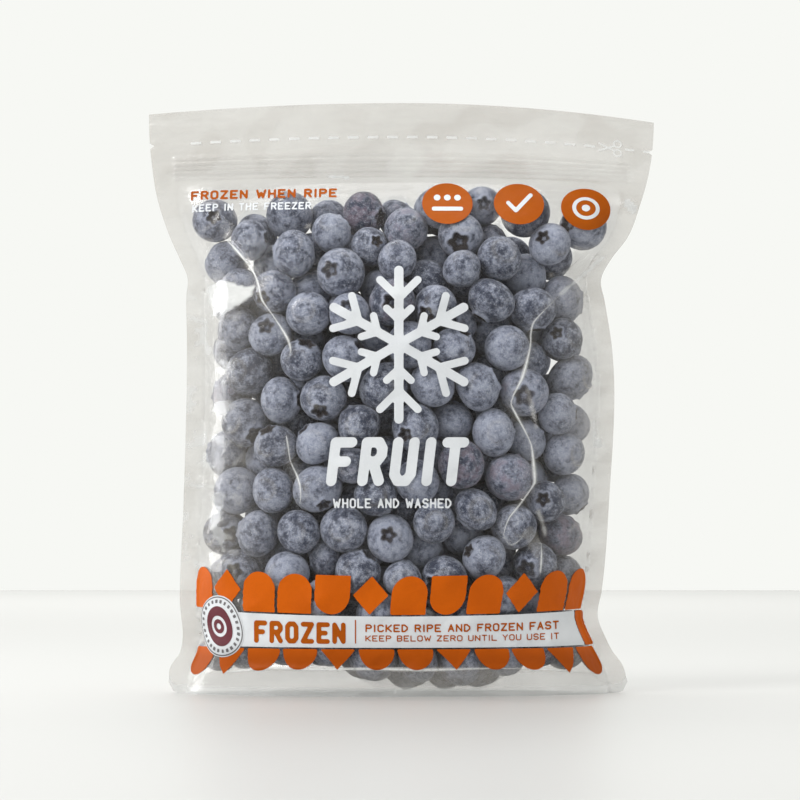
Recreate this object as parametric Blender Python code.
"""A clear stand-up pouch of frozen berries: a sealed, filled pouch on an opened bottom gusset, and its press-to-close zip.

Metres, +Z up. The origin is on the table, at the middle of the pouch's box. The front looks along -Y.
"""

import math
from bisect import bisect_right

import bmesh
import bpy
import numpy as np

# The pouch as it stands
POUCH_HEIGHT = 0.209
HALF_WIDTH = 0.090
SIDE_SEAL = 0.0065
SEAL_THICKNESS = 0.0010

# How far each side edge stands from the middle, from the table up. Both edges are tucked in below the header.
LEFT_EDGE = [
    (0.000, 0.0824), (0.007, 0.0818), (0.015, 0.0782), (0.033, 0.0786), (0.070, 0.0772),
    (0.125, 0.0763), (0.141, 0.0766), (0.147, 0.0762), (0.154, 0.0790), (0.161, 0.0822),
    (0.175, 0.0868), (0.189, 0.0889), (0.200, 0.0898), (POUCH_HEIGHT, HALF_WIDTH),
]
RIGHT_EDGE = [
    (0.000, 0.0800), (0.008, 0.0783), (0.018, 0.0730), (0.027, 0.0696), (0.036, 0.0710),
    (0.068, 0.0737), (0.125, 0.0746), (0.139, 0.0724), (0.147, 0.0712), (0.154, 0.0748),
    (0.161, 0.0802), (0.175, 0.0854), (0.189, 0.0884), (0.200, 0.0896), (POUCH_HEIGHT, HALF_WIDTH),
]

# How far the filled body bulges to the front and to the back, from the table up to the zip
BODY_DEPTH = 0.0325
BULGE = [
    (0.000, 0.84), (0.009, 0.88), (0.030, 0.96), (0.060, 1.00), (0.100, 1.00), (0.130, 0.97),
    (0.147, 0.88), (0.157, 0.74), (0.167, 0.52), (0.175, 0.27), (0.181, 0.05), (0.184, 0.00),
    (POUCH_HEIGHT, 0.00),
]
BODY_TOP = 0.1812
BULGE_FLATNESS = 2.3
BULGE_ROUNDNESS = 0.6

# The header bows towards the front, and its ends hang lower than its middle
HEADER_START = 0.165
HEADER_BOW = 0.006
LEFT_DROOP = 0.0035
RIGHT_DROOP = 0.0064
SEAM_WAVE = 0.0016
SEAM_WAVE_LENGTH = 0.120

# Lower corners and the gusset under the skirt
CORNER_RADIUS = 0.004
CORNER_BLEND = 0.014
SKIRT_THICKNESS = 0.0010
GUSSET_SEAL_HEIGHT = 0.0080
GUSSET_REACH = 0.6
GUSSET_NARROW = 0.005
GUSSET_WIDE = 0.014

# Lumps that the berries press into the film
BERRY_PITCH = 0.0155
BERRY_LUMP = 0.0024
LUMPS_LOW = 0.016
LUMPS_HIGH = 0.172

# Long folds of the front film, as (x, height) points down each fold
FOLD_RISE = 0.0016
FOLD_REACH = 0.0055
FOLDS = [
    [(-0.063, 0.160), (-0.051, 0.144), (-0.039, 0.120)],
    [(-0.040, 0.092), (-0.039, 0.080), (-0.036, 0.066)],
    [(0.070, 0.152), (0.054, 0.139), (0.047, 0.126), (0.041, 0.104), (0.047, 0.085), (0.042, 0.067), (0.037, 0.057)],
    [(0.050, 0.058), (0.050, 0.041)],
]

# The zip between the side seals, and the notches at the ends of the tear line
ZIP_LOW = 0.1825
ZIP_HIGH = 0.1920
ZIP_REACH = 0.0808
ZIP_FLANGE = 0.0009
ZIP_TRACK = 0.0026
TRACK_HEIGHT = 0.0016
PIECE_GAP = 0.0003
TEAR_LINE = 0.1965
NOTCH_DEPTH = 0.0016
NOTCH_HEIGHT = 0.0022

# Mesh steps
BODY_ROWS = 44
HEADER_ROWS = 6
HALF_COLUMNS = 19
GUSSET_SHARES = (0.0, 0.18, 0.36, 0.60, 0.90)
BASE_HALF_ROWS = len(GUSSET_SHARES) + 2
BAR_COLUMNS = 22


def along(stations, height):
    """The value at a height on the smooth line through (height, value) stations."""
    heights, values = zip(*stations)
    slopes = np.gradient(values, heights)
    i = min(max(bisect_right(heights, height) - 1, 0), len(heights) - 2)
    step = heights[i + 1] - heights[i]
    t = (height - heights[i]) / step
    start = (1 + 2 * t) * (1 - t) ** 2 * values[i] + t * (1 - t) ** 2 * step * slopes[i]
    end = t * t * (3 - 2 * t) * values[i + 1] + t * t * (t - 1) * step * slopes[i + 1]
    return start + end


def ramp(low, high, value):
    """0 below low, 1 above high, and a smooth rise between them."""
    t = min(max((value - low) / (high - low), 0.0), 1.0)
    return t * t * (3 - 2 * t)


def seam_point(x, height):
    """A point of the surface midway between the two films, where the seals and the zip lie."""
    share = x / HALF_WIDTH
    header = ramp(HEADER_START, POUCH_HEIGHT, height)
    bow = HEADER_BOW * header * (1 - share * share)
    wave = SEAM_WAVE * math.sin(2 * math.pi * height / SEAM_WAVE_LENGTH) * share ** 4
    droop = (LEFT_DROOP if x < 0 else RIGHT_DROOP) * header * share * share
    return x, wave - bow, height - droop


def berry_spots(seed):
    """Where berries press on one film: a jittered pattern of staggered rows, as (x, height)."""
    jitter = np.random.default_rng(seed)
    rise = BERRY_PITCH * math.sqrt(3) / 2
    rows = int((LUMPS_HIGH - LUMPS_LOW) / rise) + 1
    columns = int(HALF_WIDTH / BERRY_PITCH)
    spots = []
    for row in range(rows):
        for column in range(-columns, columns + 1):
            x = (column + 0.5 * (row % 2)) * BERRY_PITCH
            shift_x, shift_z = jitter.uniform(-0.22, 0.22, 2) * BERRY_PITCH
            spots.append((x + shift_x, LUMPS_LOW + row * rise + shift_z))
    return np.array(spots)


def lump(x, height, spots):
    """How far the nearest berry pushes the film out."""
    reach = BERRY_PITCH * 0.62
    nearest = np.sqrt(((spots - (x, height)) ** 2).sum(axis=1)).min()
    rise = max(0.0, 1 - (nearest / reach) ** 2)
    fade = ramp(0.0, LUMPS_LOW, height) * (1 - ramp(LUMPS_HIGH - 0.010, LUMPS_HIGH + 0.006, height))
    return BERRY_LUMP * rise * fade


def fold(x, height):
    """How far the nearest fold of the front film stands up."""
    nearest = FOLD_REACH
    for points in FOLDS:
        for (x1, h1), (x2, h2) in zip(points, points[1:]):
            run = ((x - x1) * (x2 - x1) + (height - h1) * (h2 - h1)) / ((x2 - x1) ** 2 + (h2 - h1) ** 2)
            run = min(max(run, 0.0), 1.0)
            gap = math.hypot(x - x1 - run * (x2 - x1), height - h1 - run * (h2 - h1))
            nearest = min(nearest, gap)
    return FOLD_RISE * (1 - nearest / FOLD_REACH)


def column_shares():
    """Places across the pouch from -1 to 1, in units of the inner half width, closer together near the side seals."""
    steps = np.linspace(-1, 1, 2 * HALF_COLUMNS + 1)
    return 0.5 * steps + 0.5 * np.sin(0.5 * math.pi * steps)


def across(height):
    """The x of every column at a height: the side seals' edges, their rounded corners, and the body between them."""
    left, right = -along(LEFT_EDGE, height), along(RIGHT_EDGE, height)
    seal = [0.0, 0.3 * CORNER_RADIUS, CORNER_RADIUS]
    middle, half = (left + right) / 2, (right - left) / 2 - SIDE_SEAL
    body = middle + half * column_shares()
    return np.concatenate([left + np.array(seal), body, right - np.array(seal[::-1])])


def film_point(x, height, side, spots):
    """A point on the front film (side -1) or the back film (side 1)."""
    left, right = -along(LEFT_EDGE, height), along(RIGHT_EDGE, height)
    middle, half = (left + right) / 2, (right - left) / 2 - SIDE_SEAL
    share = min(abs(x - middle) / half, 1.0)
    swell = (1 - share ** BULGE_FLATNESS) ** BULGE_ROUNDNESS
    depth = BODY_DEPTH * max(along(BULGE, height), 0.0) * swell
    relief = lump(x, height, spots)
    if side < 0:
        relief += fold(x, height)
    x, y, z = seam_point(x, height)
    y += side * (SEAL_THICKNESS / 2 + depth + relief * swell)

    # the lower corners of the side seals are rounded
    into_corner = max(left + CORNER_RADIUS - x, x - right + CORNER_RADIUS, 0.0)
    rise = CORNER_RADIUS - math.sqrt(max(CORNER_RADIUS ** 2 - into_corner ** 2, 0.0))
    z += rise * max(1 - height / CORNER_BLEND, 0.0)
    return x, y, z


def row_heights():
    """Heights of the rows of film points: the body up to the zip, then the header."""
    body = np.linspace(0, BODY_TOP, BODY_ROWS + 1)
    header = np.linspace(BODY_TOP, POUCH_HEIGHT, HEADER_ROWS + 1)
    return [*body, *header[1:]]


def quads(mesh, rows):
    """Faces between neighbouring rows of points."""
    verts = [[mesh.verts.new(point) for point in row] for row in rows]
    for low, high in zip(verts, verts[1:]):
        for i in range(len(low) - 1):
            mesh.faces.new((low[i], low[i + 1], high[i + 1], high[i]))
    return verts


def gusset_rows(front, back):
    """Points under the pouch from front to back: the skirt, the groove behind it, and the gusset sunk to the table."""
    x, front_y, z = front
    half_depth = (back[1] - front_y) / 2
    if half_depth < SEAL_THICKNESS:
        return [front] * BASE_HALF_ROWS + [back] * BASE_HALF_ROWS
    wall = min(SKIRT_THICKNESS, half_depth / 8)
    height = GUSSET_SEAL_HEIGHT * ramp(GUSSET_NARROW, GUSSET_WIDE, half_depth)
    half = [(0.0, 0.0), (wall, 0.0)]
    for share in GUSSET_SHARES:
        inside = 2 * wall + share * (half_depth - 2 * wall)
        half.append((inside, height * (1 - ramp(0, GUSSET_REACH, share))))
    front_half = [(x, front_y + inside, z + rise) for inside, rise in half]
    back_half = [(x, back[1] - inside, z + rise) for inside, rise in half[::-1]]
    return front_half + back_half


def filled_pouch_mesh():
    """Front film, back film, the seals' edges and the gusset, welded into one closed skin."""
    films = {}
    heights = row_heights()
    for side, seed in ((-1, 4), (1, 9)):
        spots = berry_spots(seed)
        films[side] = [[film_point(x, h, side, spots) for x in across(h)] for h in heights]
    front, back = films[-1], films[1]
    base = zip(*[gusset_rows(f, b) for f, b in zip(front[0], back[0])])

    shell = bmesh.new()
    quads(shell, front)
    quads(shell, back)
    quads(shell, list(base))
    quads(shell, [front[-1], back[-1]])
    for end in (0, -1):
        quads(shell, [[row[end] for row in front], [row[end] for row in back]])
    bmesh.ops.remove_doubles(shell, verts=shell.verts, dist=1e-6)
    bmesh.ops.recalc_face_normals(shell, faces=shell.faces)
    return shell


def header_bar(reach, low, high, outline):
    """A bar that follows the header from side to side; outline lists (half thickness, share of height) upwards."""
    section = [(-half, share) for half, share in outline] + [(half, share) for half, share in outline[::-1]]
    bar = bmesh.new()
    rows = []
    for half, share in section:
        height = low + share * (high - low)
        row = [seam_point(x, height) for x in np.linspace(-reach, reach, BAR_COLUMNS + 1)]
        rows.append([(x, y + half, z) for x, y, z in row])
    verts = quads(bar, [*rows, rows[0]])
    for end in (0, -1):
        bar.faces.new([row[end] for row in verts[:-1]])
    bmesh.ops.remove_doubles(bar, verts=bar.verts, dist=1e-6)
    bmesh.ops.recalc_face_normals(bar, faces=bar.faces)
    return bar


def zip_outline():
    """The closed zip seen from its end: a flat flange with two interlocked tracks on it."""
    height = ZIP_HIGH - ZIP_LOW - 2 * PIECE_GAP
    half_track = TRACK_HEIGHT / 2 / height
    outline = [(ZIP_FLANGE / 2, 0.0)]
    for centre in (0.30, 0.70):
        outline += [
            (ZIP_FLANGE / 2, centre - 1.3 * half_track),
            (ZIP_TRACK / 2, centre - 0.6 * half_track),
            (ZIP_TRACK / 2, centre + 0.6 * half_track),
            (ZIP_FLANGE / 2, centre + 1.3 * half_track),
        ]
    return [*outline, (ZIP_FLANGE / 2, 1.0)]


def plastic(name, colour, roughness):
    """A plain plastic finish."""
    material = bpy.data.materials.new(name)
    material.use_nodes = True
    shader = material.node_tree.nodes["Principled BSDF"]
    shader.inputs["Base Color"].default_value = (*colour, 1.0)
    shader.inputs["Roughness"].default_value = roughness
    shader.inputs["Metallic"].default_value = 0.0
    return material


def add_object(name, shape, collection, material=None):
    """An object from a bmesh, which is freed."""
    data = bpy.data.meshes.new(name)
    shape.to_mesh(data)
    shape.free()
    made = bpy.data.objects.new(name, data)
    collection.objects.link(made)
    if material:
        data.materials.append(material)
    return made


def add_cutter(name, shape, collection, target):
    """A shape that is cut out of target and isn't part of the object."""
    cutter = add_object(name, shape, collection)
    cutter.hide_render = True
    cutter.display_type = "WIRE"
    cut = target.modifiers.new(name, "BOOLEAN")
    cut.object = cutter
    cut.operation = "DIFFERENCE"
    cut.solver = "EXACT"
    return cutter


def tear_notch(side):
    """A three-sided cutter whose point reaches into the side seal at the tear line."""
    edge = along(RIGHT_EDGE if side > 0 else LEFT_EDGE, TEAR_LINE)
    x, y, z = seam_point(side * edge, TEAR_LINE)
    notch = bmesh.new()
    bmesh.ops.create_cone(
        notch, cap_ends=True, segments=3, radius1=1, radius2=1, depth=20 * SEAL_THICKNESS
    )
    for vert in notch.verts:
        across_seal, upwards, through = vert.co.y, vert.co.x, vert.co.z
        inwards = (across_seal + 0.5) / 1.5 * 2 * NOTCH_DEPTH - NOTCH_DEPTH
        vert.co = (x - side * inwards, y + through, z + upwards * NOTCH_HEIGHT)
    bmesh.ops.recalc_face_normals(notch, faces=notch.faces)
    return notch


def new_collection(name):
    collection = bpy.data.collections.new(name)
    bpy.context.scene.collection.children.link(collection)
    return collection


def main():
    for old in list(bpy.data.objects):
        bpy.data.objects.remove(old)
    parts = new_collection("frozen_fruit_bag")
    cutters = new_collection("cutters")

    film = plastic("clear_film_over_fruit", (0.191, 0.198, 0.227), 0.25)
    rib = plastic("zip_plastic", (0.687, 0.694, 0.651), 0.35)

    pouch = add_object("filled_pouch", filled_pouch_mesh(), parts, film)
    pouch.data.shade_smooth()
    pouch.data.set_sharp_from_angle(angle=math.radians(50))

    slot = header_bar(ZIP_REACH, ZIP_LOW, ZIP_HIGH, [(0.010, 0.0), (0.010, 1.0)])
    add_cutter("zip_slot", slot, cutters, pouch)
    for side, name in ((-1, "left_tear_notch"), (1, "right_tear_notch")):
        add_cutter(name, tear_notch(side), cutters, pouch)

    closure = header_bar(ZIP_REACH - PIECE_GAP, ZIP_LOW + PIECE_GAP, ZIP_HIGH - PIECE_GAP, zip_outline())
    add_object("zip_closure", closure, parts, rib)


main()
